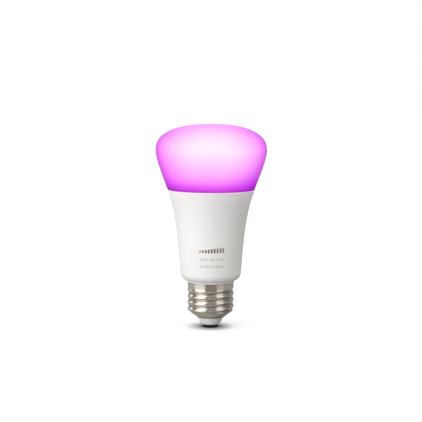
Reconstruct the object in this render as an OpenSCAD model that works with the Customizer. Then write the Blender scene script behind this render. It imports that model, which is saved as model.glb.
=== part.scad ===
// Colour-changing smart LED bulb with an E26 screw base.
// Millimetres, +Z up, front towards -Y. The origin is on the axis, at the end face of the centre contact.

/* [Bulb envelope] */
// Height from the centre contact to the top of the diffuser
total_h = 113.8; // [113.3:0.1:115.2]
// Largest diameter of the diffuser
diffuser_d = 62; // [61:0.5:64]
// Height of the diffuser's widest circle
equator_z = 99.3; // [98.3:0.1:100.2]
// Height of the seam between diffuser and housing
seam_z = 77.3; // [77.2:0.1:77.6]
// Diameter of the housing's top edge, at the seam
seam_d = 49.2; // [49:0.1:49.4]
// Fullness of the crown: 2 is an ellipse, more is squarer
crown_power = 2.37; // [2:0.01:2.6]

/* [Housing] */
// Diameter of the housing's lower barrel
barrel_d = 34.2; // [34:0.1:35]
// Diameter of the plastic rim that meets the screw base
neck_d = 26.7; // [26.5:0.1:27]
// Wall of the housing and of the diffuser
wall = 1.6; // [1.5:0.1:1.7]
// Wall of the aluminium heat sink
sink_wall = 1; // [0.8:0.1:1]
// Wall of the driver's insulating sleeve
liner_wall = 0.9; // [0.8:0.1:0.9]

/* [E26 screw base] */
// Thread diameter over the crests
thread_d = 26.2; // [26.05:0.05:26.3]
// Depth from crest to root
thread_depth = 0.75; // [0.6:0.05:0.8]
// Thread pitch, seven turns to the inch
thread_pitch = 3.629; // [3.6:0.001:3.65]
// Diameter of the plain collar
collar_d = 25.9; // [25.8:0.1:26]
// Height of the collar's top edge
collar_top_z = 25.7; // [25.3:0.1:25.7]
// Sheet thickness of the screw shell
shell_wall = 0.3; // [0.25:0.05:0.3]
// Height of the shell's bottom opening
shell_bottom_z = 5.5; // [5.2:0.1:5.5]
// Diameter of the shell's bottom opening
shell_mouth_d = 15.4; // [15.2:0.1:15.6]
// Diameter of the centre contact
contact_d = 8.2; // [8:0.1:8.4]

/* [LED deck] */
// Height of the LED board's top face
deck_z = 73.6; // [73.4:0.1:73.6]
// Diameter of the LED board
board_d = 41.2; // [40.8:0.1:41.2]
// Radius of the ring of white LEDs
white_ring_r = 17.2; // [17:0.1:17.4]
// Radius of the ring of colour LEDs
colour_ring_r = 12.4; // [12.3:0.1:12.6]
// Side of one LED package
led_side = 2.8; // [2.4:0.1:2.8]

/* [Driver board] */
// Height of the driver board's lower edge
driver_z0 = 13.7; // [13.5:0.1:14.2]
// Height of the driver board's upper edge
driver_z1 = 66.2; // [65.7:0.1:66.2]
// Thickness of the driver board
driver_t = 1.6; // [1.2:0.1:1.6]

/* [Hidden] */
$fn = 96;
gap = 0.1;
tiny = 0.01;

// Curves ----------------------------------------------------------------------------------------

// Points along a cubic Bezier curve
function bezier(p, n) = [for (i = [0:n]) let (t = i / n)
    pow(1 - t, 3) * p[0] + 3 * pow(1 - t, 2) * t * p[1] + 3 * (1 - t) * t * t * p[2] + pow(t, 3) * p[3]];

// An outline moved by d towards its left-hand side, which is the axis when it runs upwards
function inset(pts, d) = [for (i = [0:len(pts) - 1])
    let (a = pts[max(i - 1, 0)], b = pts[min(i + 1, len(pts) - 1)], t = (b - a) / norm(b - a))
    [max(0, pts[i].x - d * t.y), pts[i].y + d * t.x]];

function reversed(pts) = [for (i = [len(pts) - 1:-1:0]) pts[i]];

// Radius of an outline at height z
function radius_at(pts, z) = lookup(z, [for (p = pts) [p.y, p.x]]);

function smooth(x) = let (t = min(1, max(0, x))) t * t * (3 - 2 * t);

function polar(r, a) = [r * cos(a), r * sin(a)];

// Outer outlines --------------------------------------------------------------------------------

diffuser_r = diffuser_d / 2;
seam_r = seam_d / 2;
// The housing's top edge stands out a little past the diffuser
seam_step = 0.35;
dome_seam_r = seam_r - seam_step;
crown_h = total_h - equator_z;
crown_steps = 24;

// The diffuser flares straight from the seam, turns upright at its equator and closes in a flat crown.
diffuser_flare = bezier([
    [dome_seam_r, seam_z], [dome_seam_r + 2.2, seam_z + 6.3],
    [diffuser_r, equator_z - 5.4], [diffuser_r, equator_z]
], 16);
diffuser_crown = [for (i = [1:crown_steps]) let (a = 90 * i / crown_steps)
    [diffuser_r * pow(max(0, cos(a)), 2 / crown_power), equator_z + crown_h * pow(sin(a), 2 / crown_power)]];
diffuser_outline = concat(diffuser_flare, diffuser_crown);

// The housing's barrel widens upwards like a trumpet. Its shoulder rounds in to a groove above the rim.
barrel_r = barrel_d / 2;
neck_r = neck_d / 2;
barrel_z = collar_top_z + 5.7;
neck_rim_h = 0.42;
neck_groove = 0.2;
shoulder_outline = bezier([
    [neck_r - neck_groove, collar_top_z + neck_rim_h + 0.28], [neck_r + 2.3, collar_top_z + 1.4],
    [barrel_r - 0.1, collar_top_z + 3.1], [barrel_r, barrel_z]
], 10);
flare_outline = bezier([
    [barrel_r, barrel_z], [barrel_r + 1.1, barrel_z + 14.9],
    [seam_r - 5.3, seam_z - 12], [seam_r, seam_z]
], 20);
housing_outline = concat(shoulder_outline, [for (i = [1:20]) flare_outline[i]]);

function housing_r(z) = radius_at(housing_outline, z);

// A ring of the housing's own shape, from inset d0 to inset d1, between two heights
function sleeve_outline(d0, d1, z0, z1, n = 10) = concat(
    [for (i = [0:n]) let (z = z0 + (z1 - z0) * i / n) [housing_r(z) - d0, z]],
    [for (i = [n:-1:0]) let (z = z0 + (z1 - z0) * i / n) [housing_r(z) - d1, z]]);

// Seam and snap fit ------------------------------------------------------------------------------

skirt_r = seam_r - 2.2;
skirt_in_r = skirt_r - 1.3;
ledge_z = seam_z - 3.1;
skirt_z0 = ledge_z + 0.4;
rib_z = seam_z - 1.5;
rib_r = 0.25;
seam_gap = 0.12;
edge_break = 0.35;

// Screw base ------------------------------------------------------------------------------------

thread_r = thread_d / 2;
collar_r = collar_d / 2;
crest_z = collar_top_z - 10.15;
thread_end_z = collar_top_z - 4.2;
thread_fade = 1.3;
mouth_r = shell_mouth_d / 2;
cone_slope = 1.3;
cone_blend = 0.35;
spigot_r = thread_r - thread_depth - shell_wall - 0.15;
spigot_in_r = spigot_r - 1.5;
spigot_z0 = collar_top_z - 15.3;
slot_z1 = spigot_z0 + 5.2;
land_r = collar_r - shell_wall - gap;
land_z0 = collar_top_z - 2.7;
contact_r = contact_d / 2;
insulator_z0 = 1.5;
contact_recess_z = insulator_z0 + 1.1;
nail_top_z = spigot_z0 - 2.2;
nail_r = 0.7;
nail_hole_r = 1.3;
lead_r = 0.6;
bare_r = 0.25;

// Smaller of two radii, rounded where they meet
function soft_min(a, b, k) = (a + b - sqrt(pow(a - b, 2) + k * k)) / 2;

// Outside radius of the screw shell: rounded Edison thread between a plain collar and a cone
function shell_r(z, a) =
    let (phase = 360 * (z - crest_z) / thread_pitch - a,
         thread = thread_r - thread_depth * (1 - cos(phase)) / 2,
         fade = smooth((z - thread_end_z) / thread_fade),
         cone = mouth_r + cone_slope * (z - shell_bottom_z))
    soft_min(thread * (1 - fade) + collar_r * fade, cone, cone_blend);

// Heights of the shell's rings: close together on the thread, wider on the cone and the collar
shell_rings = concat(
    [for (i = [0:3]) shell_bottom_z + 0.95 * i],
    [for (i = [0:38]) shell_bottom_z + 3.4 + i * thread_pitch / 10],
    [for (h = [2.3, 1.1, 0]) collar_top_z - h]);
shell_sides = 56;

// LED deck --------------------------------------------------------------------------------------

board_r = board_d / 2;
board_t = 1.6;
pad_t = 0.3;
carrier_t = 1.5;
pad_z0 = deck_z - board_t - pad_t;
carrier_z0 = pad_z0 - carrier_t;
sink_z0 = barrel_z + 0.8;
sink_inset = wall + gap;
liner_inset = sink_inset + sink_wall + gap;
carrier_r = housing_r(carrier_z0) - sink_inset;
screw_ring_r = 14.8;
screw_angles = [90, 210, 330];
led_h = 0.7;
led_angles = [for (i = [0:11]) 15 + 30 * i];

// Driver and radio boards -----------------------------------------------------------------------

driver_y0 = 2;
driver_y1 = driver_y0 + driver_t;
driver_neck_w = 19;
driver_w = 25.2;
driver_step_z = barrel_z + 2.3;
radio_y0 = 6;
radio_t = 1;
radio_y1 = radio_y0 + radio_t;
radio_w = 10.8;
radio_z0 = deck_z - 18.4;
radio_z1 = deck_z + 13.6;
pin_pitch = 2;
pin_y = driver_y0 - 0.32;
slot_w = 12.4;

// Height above the driver board's lower edge
function on_board(h) = driver_z0 + h;

// Shared shapes ---------------------------------------------------------------------------------

module revolve(pts) {
    rotate_extrude() polygon(pts);
}

module ring(r_out, r_in, z0, z1) {
    revolve([[r_in, z0], [r_out, z0], [r_out, z1], [r_in, z1]]);
}

module box(x0, x1, y0, y1, z0, z1) {
    translate([x0, y0, z0]) cube([x1 - x0, y1 - y0, z1 - z0]);
}

// Box with rounded upright edges
module rounded_box(x0, x1, y0, y1, z0, z1, r) {
    translate([0, 0, z0]) linear_extrude(z1 - z0) union() {
        translate([x0 + r, y0]) square([x1 - x0 - 2 * r, y1 - y0]);
        translate([x0, y0 + r]) square([x1 - x0, y1 - y0 - 2 * r]);
        for (x = [x0 + r, x1 - r]) for (y = [y0 + r, y1 - r]) translate([x, y]) circle(r);
    }
}

// Cylinder from a point along -Y, as components stand on the driver board's front face
module stood(x, z, r, h, y = driver_y0) {
    translate([x, y, z]) rotate([90, 0, 0]) cylinder(r = r, h = h);
}

// Round wire along a list of points; the balls at its bends are a little fuller than the wire
module wire(pts, r) {
    for (i = [0:len(pts) - 2]) {
        d = pts[i + 1] - pts[i];
        translate(pts[i])
            rotate([0, acos(d.z / norm(d)), atan2(d.y, d.x)])
            cylinder(r = r, h = norm(d));
        if (i > 0) translate(pts[i]) sphere(r * 1.04);
    }
}

// Copies its children to each of the deck's three screws
module at_screws() {
    for (a = screw_angles) translate(polar(screw_ring_r, a)) children();
}

// Slots through the deck for the radio board and the header pins
module deck_slots(z0, z1) {
    box(-radio_w / 2 - 0.3, radio_w / 2 + 0.3, radio_y0 - 0.2, radio_y1 + 0.2, z0, z1);
    box(-slot_w / 2, slot_w / 2, pin_y - 0.8, pin_y + 0.8, z0, z1);
}

// Row of six square posts on the header's pitch
module post_row(half_side, z0, z1) {
    for (i = [-2.5:2.5]) {
        x = i * pin_pitch;
        box(x - half_side, x + half_side, pin_y - half_side, pin_y + half_side, z0, z1);
    }
}

// Screw base parts ------------------------------------------------------------------------------

// Stamped disc with a dished middle, which holds the nail's head clear of the end face
module centre_contact() {
    dish_z = insulator_z0;
    color("silver") revolve([
        [nail_r + 0.05, dish_z], [1.95, dish_z], [2.35, dish_z / 2], [2.6, 0], [contact_r - 0.6, 0],
        [contact_r - 0.2, 0.12], [contact_r, 0.45], [contact_r, contact_recess_z - 0.05],
        [nail_r + 0.05, contact_recess_z - 0.05]
    ]);
}

// Nail pressed through the contact, which traps the bare end of the live lead
module contact_nail() {
    seat_z = insulator_z0 - 0.05;
    color("gainsboro") revolve([
        [0, seat_z - 0.5], [1.1, seat_z - 0.45], [1.55, seat_z - 0.23], [1.6, seat_z], [nail_r, seat_z],
        [nail_r, nail_top_z - 0.4], [nail_r - 0.3, nail_top_z], [0, nail_top_z]
    ]);
}

// Conical plug that keeps the contact apart from the shell, held by the shell's rolled-in lip
module base_insulator() {
    lip_r = mouth_r - shell_wall - 0.1;
    color("whitesmoke") revolve([
        [nail_hole_r, contact_recess_z], [contact_r + 0.05, contact_recess_z],
        [contact_r + 0.05, insulator_z0], [contact_r + 0.7, insulator_z0],
        [contact_r + 1.5, insulator_z0 + 0.6], [lip_r - 0.25, shell_bottom_z - 0.1],
        [lip_r - 0.25, shell_bottom_z + 0.6],
        [lip_r + 0.5, shell_bottom_z + 1.1], [lip_r + 3.2, shell_bottom_z + 3.2],
        [lip_r + 3.2, spigot_z0 - 0.15], [lip_r + 2, spigot_z0 - 0.15],
        [lip_r + 0.6, shell_bottom_z + 3], [nail_hole_r + 1.2, shell_bottom_z + 2.2],
        [nail_hole_r, shell_bottom_z + 1.4]
    ]);
}

// Rolled sheet shell: an outer and an inner skin of the same thread, one sheet apart
module screw_shell() {
    rows = len(shell_rings);
    skin = rows * shell_sides;
    points = [for (s = [0, 1]) for (z = shell_rings) for (j = [0:shell_sides - 1])
        let (a = 360 * j / shell_sides, r = shell_r(z, a) - s * shell_wall) [r * cos(a), r * sin(a), z]];
    function at(s, i, j) = s * skin + i * shell_sides + j % shell_sides;
    walls = [for (s = [0, 1]) for (i = [0:rows - 2]) for (j = [0:shell_sides - 1])
        let (a = at(s, i, j), b = at(s, i, j + 1), c = at(s, i + 1, j + 1), d = at(s, i + 1, j))
        each (s == 0 ? [[a, c, b], [a, d, c]] : [[a, b, c], [a, c, d]])];
    ends = [for (i = [0, rows - 1]) for (j = [0:shell_sides - 1])
        let (a = at(0, i, j), b = at(0, i, j + 1), c = at(1, i, j + 1), d = at(1, i, j))
        each (i == 0 ? [[a, b, c], [a, c, d]] : [[a, c, b], [a, d, c]])];
    color("silver") polyhedron(points, concat(walls, ends));
}

// Wire from the driver board, bared where it lies in the spigot's slot against the shell
module neutral_lead() {
    bare_x = spigot_r - 0.16;
    lead_y = driver_y0 - lead_r;
    color("ivory") union() {
        wire([[6, lead_y, on_board(4.5)], [6, lead_y, on_board(-0.9)], [9.2, 0.2, spigot_z0 + 1.4]], lead_r);
        wire([[9, 0.2, spigot_z0 + 1.45], [bare_x, 0, spigot_z0 + 0.9], [bare_x, 0, slot_z1 - 0.4]], bare_r);
    }
}

// Wire from the driver board down to the nail
module live_lead() {
    bare_x = -nail_r - bare_r - 0.02;
    lead_y = driver_y0 - lead_r;
    bend_z = spigot_z0 - 0.6;
    end_z = contact_recess_z + 1.2;
    color("saddlebrown") union() {
        wire([[-6, lead_y, on_board(4.5)], [-6, lead_y, on_board(-0.9)], [-2.2, 0.3, bend_z]], lead_r);
        wire([[-2.3, 0.3, bend_z + 0.1], [bare_x, 0, bend_z - 1.4], [bare_x, 0, end_z]], bare_r);
    }
}

// Body shells -----------------------------------------------------------------------------------

module housing() {
    inner_z = barrel_z - 0.4;
    color("white") revolve(concat(
        [[land_r + 0.15, collar_top_z], [neck_r - 0.15, collar_top_z], [neck_r, collar_top_z + 0.15],
         [neck_r, collar_top_z + neck_rim_h], [neck_r - neck_groove, collar_top_z + neck_rim_h + 0.08]],
        [for (p = housing_outline) if (p.y < seam_z - edge_break - seam_gap) p],
        [[seam_r - 0.08, seam_z - edge_break - seam_gap], [seam_r - edge_break, seam_z - seam_gap],
         [skirt_r + gap, seam_z - seam_gap], [skirt_r + gap, rib_z + rib_r + gap],
         [skirt_r + gap + rib_r, rib_z], [skirt_r + gap, rib_z - rib_r - gap],
         [skirt_r + gap, ledge_z]],
        [for (i = [10:-1:0]) let (z = inner_z + (ledge_z - inner_z) * i / 10) [housing_r(z) - wall, z]],
        [[land_r + 0.15, collar_top_z + 2]]));
}

// Aluminium cup between the housing and the sleeve, with an inward foot at its base
module heat_sink() {
    foot_r = housing_r(sink_z0) - liner_inset - 0.6;
    color("lightgray") union() {
        revolve(sleeve_outline(sink_inset, sink_inset + sink_wall, sink_z0, carrier_z0));
        ring(housing_r(sink_z0) - sink_inset - 0.2, foot_r, sink_z0, sink_z0 + 0.8);
    }
}

// Insulating sleeve: its spigot carries the screw shell, and its rails hold the driver board
module driver_liner() {
    bay_z0 = barrel_z + 1.9;
    liner_z1 = carrier_z0 - 1;
    throat_r = housing_r(sink_z0) - liner_inset - 0.7;
    rail_in_x = driver_w / 2 - 0.8;
    rail_out_x = 18;
    bay_h = liner_z1 - bay_z0;
    wall_out = [for (i = [0:10]) let (z = bay_z0 + bay_h * i / 10) [housing_r(z) - liner_inset, z]];
    wall_in = [for (p = reversed(wall_out)) [p.x - liner_wall, p.y]];
    color("ghostwhite") difference() {
        union() {
            revolve(concat(
                [[spigot_in_r, spigot_z0], [spigot_r - 0.3, spigot_z0], [spigot_r, spigot_z0 + 0.4],
                 [spigot_r, land_z0], [land_r, land_z0 + 0.3], [land_r, collar_top_z + 1.9],
                 [throat_r, barrel_z - 0.2], [throat_r, bay_z0]],
                wall_out, wall_in,
                [[throat_r - liner_wall, bay_z0], [throat_r - liner_wall, barrel_z + 0.2],
                 [spigot_in_r, collar_top_z + 2.6]]));
            intersection() {
                for (x = [-rail_out_x, rail_in_x]) for (y = [driver_y0 - gap - 1, driver_y1 + gap])
                    box(x, x + rail_out_x - rail_in_x, y, y + 1, driver_step_z + 2, driver_z1 - 2);
                revolve(concat(
                    [[0, bay_z0]], [for (p = wall_out) [p.x - liner_wall / 2, p.y]], [[0, liner_z1]]));
            }
        }
        box(spigot_in_r - 0.5, thread_r, -0.45, 0.45, spigot_z0 - 1, slot_z1);
    }
}

// Silicone bead under the diffuser's skirt
module seal_bead() {
    color("white") ring(skirt_r, skirt_in_r + 0.4, ledge_z, skirt_z0);
}

// Frosted dome: a snap-in skirt under a thin closed crown
module diffuser() {
    outer = [for (p = diffuser_outline) if (p.y > seam_z + edge_break + tiny)
        [p.y >= total_h - tiny ? 0 : p.x, p.y]];
    inner = [for (p = inset(diffuser_outline, wall)) if (p.y > seam_z + 2.6) p];
    color("orchid") revolve(concat(
        [[skirt_in_r, skirt_z0], [skirt_r - 0.2, skirt_z0], [skirt_r, skirt_z0 + 0.2],
         [skirt_r, rib_z - rib_r], [skirt_r + rib_r - 0.05, rib_z], [skirt_r, rib_z + rib_r],
         [skirt_r, seam_z], [dome_seam_r - edge_break, seam_z], [dome_seam_r + 0.02, seam_z + edge_break]],
        outer,
        [[0, total_h - wall]],
        [for (p = reversed(inner)) if (p.x > 0.5) p],
        [[skirt_in_r, seam_z + 0.8]]));
}

// LED deck parts --------------------------------------------------------------------------------

// Aluminium plate that closes the heat sink and spreads the LEDs' heat
module led_carrier() {
    plug_r = carrier_r - sink_wall - 0.4;
    color("silver") difference() {
        union() {
            translate([0, 0, carrier_z0]) cylinder(r = carrier_r, h = carrier_t);
            translate([0, 0, carrier_z0 - 0.8]) cylinder(r = plug_r, h = 0.8 + tiny);
        }
        deck_slots(carrier_z0 - 1, pad_z0 + 1);
        translate([0, 0, carrier_z0 - 2]) at_screws() cylinder(r = 1.05, h = carrier_t + 3);
    }
}

module thermal_pad() {
    color("slategray") difference() {
        translate([0, 0, pad_z0]) cylinder(r = board_r - 0.6, h = pad_t);
        deck_slots(pad_z0 - 1, deck_z);
        translate([0, 0, pad_z0 - 1]) at_screws() cylinder(r = 1.6, h = 3);
    }
}

module led_board() {
    color("white") difference() {
        translate([0, 0, deck_z - board_t]) cylinder(r = board_r, h = board_t);
        deck_slots(deck_z - board_t - 1, deck_z + 1);
        translate([0, 0, deck_z - board_t - 1]) at_screws() cylinder(r = 1.25, h = board_t + 2);
    }
}

// Pan-head screws with a cross recess
module board_screws() {
    color("silver") translate([0, 0, deck_z]) at_screws() difference() {
        union() {
            revolve([[0, 0], [1.9, 0], [1.9, 0.6], [1.6, 1.05], [1, 1.3], [0, 1.35]]);
            translate([0, 0, -4.6]) cylinder(r = 1, h = 4.6 + tiny);
            translate([0, 0, -5.4]) cylinder(r1 = 0.5, r2 = 1, h = 0.8 + tiny);
        }
        for (a = [0, 90]) rotate(a) box(-1, 1, -0.2, 0.2, 0.7, 2);
    }
}

// White cone that turns side light up into the diffuser
module reflector_ring() {
    r_out = skirt_in_r - gap;
    color("white") revolve([
        [board_r - 1.3, deck_z], [r_out - 0.3, deck_z], [r_out, deck_z + 0.5], [r_out, seam_z + 0.4],
        [r_out - 0.5, seam_z + 0.4], [board_r - 1.1, deck_z + 0.6]
    ]);
}

// One LED package with a domed lens, standing on the deck at a polar place
module led(r, a) {
    translate(concat(polar(r, a), deck_z)) rotate(a) {
        rounded_box(-led_side / 2, led_side / 2, -led_side / 2, led_side / 2, 0, led_h, 0.25);
        translate([0, 0, led_h - tiny]) cylinder(r1 = led_side * 0.4, r2 = led_side * 0.34, h = 0.15);
    }
}

// Every third or second place of a ring, starting at one
module led_group(r, first, step) {
    for (i = [first:step:11]) led(r, led_angles[i]);
}

module warm_white_leds() { color("moccasin") led_group(white_ring_r, 0, 2); }
module cool_white_leds() { color("lightyellow") led_group(white_ring_r, 1, 2); }
module red_leds() { color("tomato") led_group(colour_ring_r, 0, 3); }
module green_leds() { color("limegreen") led_group(colour_ring_r, 1, 3); }
module blue_leds() { color("royalblue") led_group(colour_ring_r, 2, 3); }

// Bottom-entry socket over the pin slot
module board_socket() {
    color("beige") difference() {
        box(-slot_w / 2 - 0.5, slot_w / 2 + 0.5, pin_y - 1.5, pin_y + 1.5, deck_z, deck_z + 2.8);
        post_row(0.4, deck_z - 1, deck_z + 2.2);
    }
}

module header_strip() {
    color("dimgray") difference() {
        box(-slot_w / 2, slot_w / 2, pin_y - 1.2, pin_y + 1.2, driver_z1 + 0.3, driver_z1 + 2.5);
        post_row(0.33, driver_z1, driver_z1 + 3);
    }
}

// Square pins, soldered to the driver board and plugged into the socket
module header_pins() {
    color("gold") post_row(0.32, driver_z1 - 4, deck_z + 2);
}

// Driver board and its components ---------------------------------------------------------------

module driver_board() {
    color("darkgreen") translate([0, driver_y1, 0]) rotate([90, 0, 0]) linear_extrude(driver_t) polygon([
        [-driver_neck_w / 2 + 1, driver_z0], [driver_neck_w / 2 - 1, driver_z0],
        [driver_neck_w / 2, driver_z0 + 1], [driver_neck_w / 2, driver_step_z - 2.5],
        [driver_w / 2, driver_step_z + 1], [driver_w / 2, driver_z1], [-driver_w / 2, driver_z1],
        [-driver_w / 2, driver_step_z + 1], [-driver_neck_w / 2, driver_step_z - 2.5],
        [-driver_neck_w / 2, driver_z0 + 1]
    ]);
}

// Axial resistor lying across the neck, with its two leads bent into the board
module fusible_resistor() {
    y = driver_y0 - 3.6;
    z = on_board(2.1);
    lead_x = 4.2;
    wire_r = 0.3;
    color("cadetblue") union() {
        translate([-3.2, y, z]) rotate([0, 90, 0]) revolve([
            [0, 0], [1.2, 0], [1.5, 0.5], [1.5, 1.4], [1.3, 1.9],
            [1.3, 4.5], [1.5, 5], [1.5, 5.9], [1.2, 6.4], [0, 6.4]
        ]);
        for (s = [-1, 1]) wire([[3 * s, y, z], [lead_x * s, y, z], [lead_x * s, driver_y0, z]], wire_r);
    }
}

// Disc varistor on two short legs
module varistor() {
    x = -4.6;
    z = on_board(9.9);
    color("royalblue") union() {
        translate([x, driver_y0 - 1.6, z]) rotate([90, 0, 0]) revolve([
            [0, 0], [3, 0], [3.4, 0.5], [3.5, 1.3], [3.4, 2.1], [3, 2.6], [0, 2.6]
        ]);
        for (dx = [-1.6, 1.6]) stood(x + dx, z, 0.3, 1.8);
    }
}

// Drum choke: two flanges and a wound middle
module input_choke() {
    x = 4.4;
    z = on_board(9.9);
    flange_r = 3.6;
    flange_t = 1;
    color("darkslategray") union() {
        stood(x, z, flange_r, flange_t);
        stood(x, z, flange_r - 0.3, 7);
        stood(x, z, flange_r, flange_t, driver_y0 - 6.5);
    }
}

// Boxed suppression capacitor
module film_capacitor() {
    z = on_board(17.5);
    half_h = 2.6;
    color("gold") rounded_box(-6, 6, driver_y0 - 9, driver_y0 - 0.3, z - half_h, z + half_h, 0.5);
    color("silver") for (x = [-4, 4]) stood(x, z, 0.3, 1);
}

module bridge_rectifier() {
    color("black") smd_chip(0, on_board(10), 4.8, 4, 1.5, 2);
}

// Flat chip on the board's rear face with n legs along each side
module smd_chip(x, z, w, l, h, n) {
    box(x - w / 2, x + w / 2, driver_y1 + 0.1, driver_y1 + h, z - l / 2, z + l / 2);
    for (s = [-1, 1]) for (i = [0:n - 1])
        let (lx = x + (i - (n - 1) / 2) * w / n)
        box(lx - 0.2, lx + 0.2, driver_y1, driver_y1 + 0.25, min(z + s * l / 2, z + s * (l / 2 + 0.9)),
            max(z + s * l / 2, z + s * (l / 2 + 0.9)));
}

// Electrolytic can: rubber seal, rolled groove and a slightly dished top
module electrolytic(x, z, r, h) {
    translate([x, driver_y0, z]) rotate([90, 0, 0]) revolve([
        [0, 0], [r - 0.5, 0], [r - 0.2, 0.3], [r, 0.7], [r, 1.3], [r - 0.35, 1.7], [r, 2.1],
        [r, h - 0.4], [r - 0.4, h], [r - 0.9, h], [r - 1, h - 0.15], [0, h - 0.15]
    ]);
}

module bulk_capacitors() {
    color("midnightblue") for (x = [-4.6, 4.6]) electrolytic(x, on_board(24.9), 4, 10.5);
}

module output_capacitors() {
    color("black") for (x = [-8.5, 8.5]) electrolytic(x, on_board(47.1), 3.15, 11);
}

// Box as the transformer's parts are: half_x each side of the middle, half_h above and below its centre
module transformer_box(half_x, y0, y1, half_h) {
    z = on_board(36.5);
    box(-half_x, half_x, driver_y0 - y0, driver_y0 - y1, z - half_h, z + half_h);
}

// Pair of E-shaped ferrite halves round the bobbin
module transformer_core() {
    leg_x = 2.3;
    color("dimgray") difference() {
        transformer_box(8, 11.5, 6.7, 6.4);
        difference() {
            transformer_box(6, 12, 6, 4.2);
            transformer_box(leg_x, 13, 5, 5);
        }
    }
}

// Bobbin: two flanges, a square tube round the core's middle leg and a pin rail down to the board
module transformer_bobbin() {
    flange_t = 0.7;
    rail_h = 4;
    color("black") union() {
        difference() {
            transformer_box(5.8, 11.9, 6.1, 4);
            difference() {
                transformer_box(6, 12, 6, 4 - flange_t);
                transformer_box(3, 13, 5, 4);
            }
            transformer_box(2.4, 11.6, 6.6, 5);
        }
        for (z = [on_board(30.3), on_board(38.7)]) {
            box(-5.6, 5.6, driver_y0 - 6.2, driver_y0 - 0.8, z, z + rail_h);
            for (x = [-4.5:3:4.5]) stood(x, z + rail_h / 2, 0.35, 1);
        }
    }
}

// Taped winding, with a window for the bobbin's tube
module transformer_winding() {
    color("gold") difference() {
        rounded_box(-5.6, 5.6, driver_y0 - 14, driver_y0 - 4.2, on_board(34.6), on_board(38.4), 1.6);
        transformer_box(3.05, 12, 6, 4);
    }
}

// Flat-tab transistor
module power_transistor() {
    z0 = on_board(22.7);
    z1 = z0 + 6;
    color("black") union() {
        box(-3.3, 3.3, driver_y1 + 0.1, driver_y1 + 2.2, z0, z1);
        box(-2.7, 2.7, driver_y1, driver_y1 + 0.5, z1 - 0.1, z1 + 1.2);
        for (x = [-2.3, 2.3]) box(x - 0.4, x + 0.4, driver_y1, driver_y1 + 0.5, z0 - 2.2, z0 + 0.1);
    }
}

module driver_chips() {
    color("black") for (x = [-5.5, 5.5]) smd_chip(x, on_board(34.5), 4.9, 3.9, 1.5, 4);
}

// Rows of small parts on the rear face
module chip_resistors() {
    color("dimgray") for (x = [-8, -5, 5, 8]) for (z = [on_board(23.5), on_board(27)])
        box(x - 1, x + 1, driver_y1, driver_y1 + 0.55, z - 0.6, z + 0.6);
}

module chip_capacitors() {
    color("tan") for (x = [-9.5, 9.5]) for (h = [32.5, 36.5, 40.5]) let (z = on_board(h))
        box(x - 1, x + 1, driver_y1, driver_y1 + 0.9, z - 0.6, z + 0.6);
}

// Radio -----------------------------------------------------------------------------------------

module radio_board() {
    color("seagreen") box(-radio_w / 2, radio_w / 2, radio_y0, radio_y1, radio_z0, radio_z1);
}

module radio_pins() {
    color("gold") for (i = [-2:2]) translate([i * pin_pitch, radio_y0, radio_z0 + 1.2]) rotate([90, 0, 0])
        cylinder(r = 0.32, h = radio_y0 - driver_y1);
}

module radio_chip() {
    color("black") box(-2.5, 2.5, radio_y1, radio_y1 + 0.9, radio_z0 + 3, radio_z0 + 8);
}

// Drawn tin can over the radio chip
module radio_shield() {
    z0 = radio_z0 + 1.6;
    z1 = z0 + 9.8;
    can_t = 0.25;
    x = 4.6;
    color("silver") difference() {
        rounded_box(-x, x, radio_y1, radio_y1 + 1.9, z0, z1, 0.4);
        box(-x + can_t, x - can_t, radio_y1 - 1, radio_y1 + 1.9 - can_t, z0 + can_t, z1 - can_t);
    }
}

module radio_crystal() {
    color("lightgray") box(-1.6, 1.6, radio_y1, radio_y1 + 0.8, radio_z0 + 9, radio_z0 + 10.8);
}

// Meandered copper strip near the top of the radio board
module antenna() {
    step = 2;
    trace_w = 0.7;
    half_w = 4.4;
    first_z = radio_z1 - 8.6;
    color("orange") translate([0, radio_y1 + 0.15, 0]) rotate([90, 0, 0]) linear_extrude(0.15) union() {
        translate([-half_w, first_z - 2.4]) square([trace_w, 3.1]);
        for (i = [0:3]) translate([-half_w, first_z + i * step]) square([2 * half_w, trace_w]);
        for (i = [0:2]) translate([i % 2 == 0 ? half_w - trace_w : -half_w, first_z + i * step])
            square([trace_w, step + trace_w]);
    }
}

// White cap over the part of the radio board that stands in the light
module antenna_cover() {
    x = radio_w / 2 + 1;
    color("white") difference() {
        rounded_box(-x, x, radio_y0 - 1.2, radio_y1 + 1.2, deck_z, radio_z1 + 1.2, 0.8);
        rounded_box(-x + 0.7, x - 0.7, radio_y0 - 0.5, radio_y1 + 0.5, deck_z - 1, radio_z1 + 0.5, 0.3);
    }
}

// Nodes -----------------------------------------------------------------------------------------

centre_contact();
contact_nail();
base_insulator();
screw_shell();
neutral_lead();
live_lead();
housing();
heat_sink();
driver_liner();
seal_bead();
diffuser();
led_carrier();
thermal_pad();
led_board();
board_screws();
reflector_ring();
warm_white_leds();
cool_white_leds();
red_leds();
green_leds();
blue_leds();
board_socket();
header_strip();
header_pins();
driver_board();
fusible_resistor();
varistor();
input_choke();
film_capacitor();
bridge_rectifier();
bulk_capacitors();
transformer_core();
transformer_bobbin();
transformer_winding();
output_capacitors();
power_transistor();
driver_chips();
chip_resistors();
chip_capacitors();
radio_board();
radio_pins();
radio_chip();
radio_shield();
radio_crystal();
antenna();
antenna_cover();
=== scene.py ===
import math

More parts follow.
